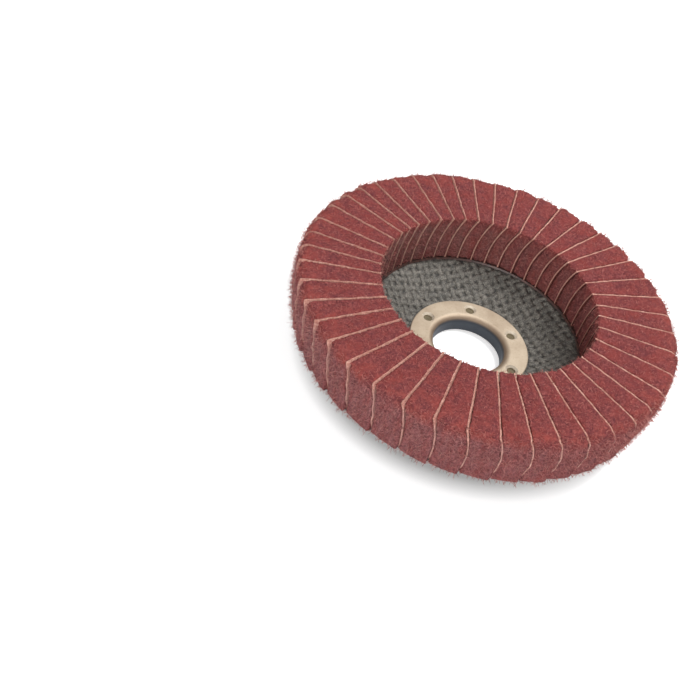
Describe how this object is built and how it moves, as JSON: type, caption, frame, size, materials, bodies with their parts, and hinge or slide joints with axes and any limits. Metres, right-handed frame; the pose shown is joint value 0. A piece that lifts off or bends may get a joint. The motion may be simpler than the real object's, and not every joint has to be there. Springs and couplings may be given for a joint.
{
  "type": "flap disc",
  "caption": "Round depressed-centre grinding and finishing disc: abrasive cloth flaps and thick non-woven web flaps on edge in a ring, on a glass-fibre backing plate with a steel-ringed bore.",
  "frame": {"origin": "centre of the bore on the plane of the backing plate's flat back face, which seats on the grinder's flange", "axes": "+Z along the bore axis, out of the backing plate and towards the flaps' working face; +X and +Y lie in the plane of the back face"},
  "size_m": [0.1148, 0.115, 0.0277],
  "materials": {
    "nonwoven_web": "matte",
    "coated_cloth": "matte",
    "glass_fibre_plate": "rough woven glass fibre in resin",
    "zinc_plated_steel": "dull zinc plate",
    "epoxy": "cured epoxy"
  },
  "bodies": {
    "root": {"backing_plate": "glass_fibre_plate", "hub_ring": "zinc_plated_steel", "adhesive_ring": "epoxy", "web_flap_01": "nonwoven_web", "web_flap_02": "nonwoven_web", "web_flap_03": "nonwoven_web", "web_flap_04": "nonwoven_web", "web_flap_05": "nonwoven_web", "web_flap_06": "nonwoven_web", "web_flap_07": "nonwoven_web", "web_flap_08": "nonwoven_web", "web_flap_09": "nonwoven_web", "web_flap_10": "nonwoven_web", "web_flap_11": "nonwoven_web", "web_flap_12": "nonwoven_web", "web_flap_13": "nonwoven_web", "web_flap_14": "nonwoven_web", "web_flap_15": "nonwoven_web", "web_flap_16": "nonwoven_web", "web_flap_17": "nonwoven_web", "web_flap_18": "nonwoven_web", "web_flap_19": "nonwoven_web", "web_flap_20": "nonwoven_web", "web_flap_21": "nonwoven_web", "web_flap_22": "nonwoven_web", "web_flap_23": "nonwoven_web", "web_flap_24": "nonwoven_web", "web_flap_25": "nonwoven_web", "web_flap_26": "nonwoven_web", "web_flap_27": "nonwoven_web", "web_flap_28": "nonwoven_web", "web_flap_29": "nonwoven_web", "web_flap_30": "nonwoven_web", "web_flap_31": "nonwoven_web", "web_flap_32": "nonwoven_web", "web_flap_33": "nonwoven_web", "web_flap_34": "nonwoven_web", "web_flap_35": "nonwoven_web", "web_flap_36": "nonwoven_web", "web_flap_37": "nonwoven_web", "web_flap_38": "nonwoven_web", "web_flap_39": "nonwoven_web", "web_flap_40": "nonwoven_web", "web_flap_41": "nonwoven_web", "web_flap_42": "nonwoven_web", "web_flap_43": "nonwoven_web", "web_flap_44": "nonwoven_web", "coated_flaps_01_04": "coated_cloth", "coated_flaps_05_08": "coated_cloth", "coated_flaps_09_12": "coated_cloth", "coated_flaps_13_16": "coated_cloth", "coated_flaps_17_20": "coated_cloth", "coated_flaps_21_24": "coated_cloth", "coated_flaps_25_28": "coated_cloth", "coated_flaps_29_32": "coated_cloth", "coated_flaps_33_36": "coated_cloth", "coated_flaps_37_40": "coated_cloth", "coated_flaps_41_44": "coated_cloth"}
  },
  "joints": []
}
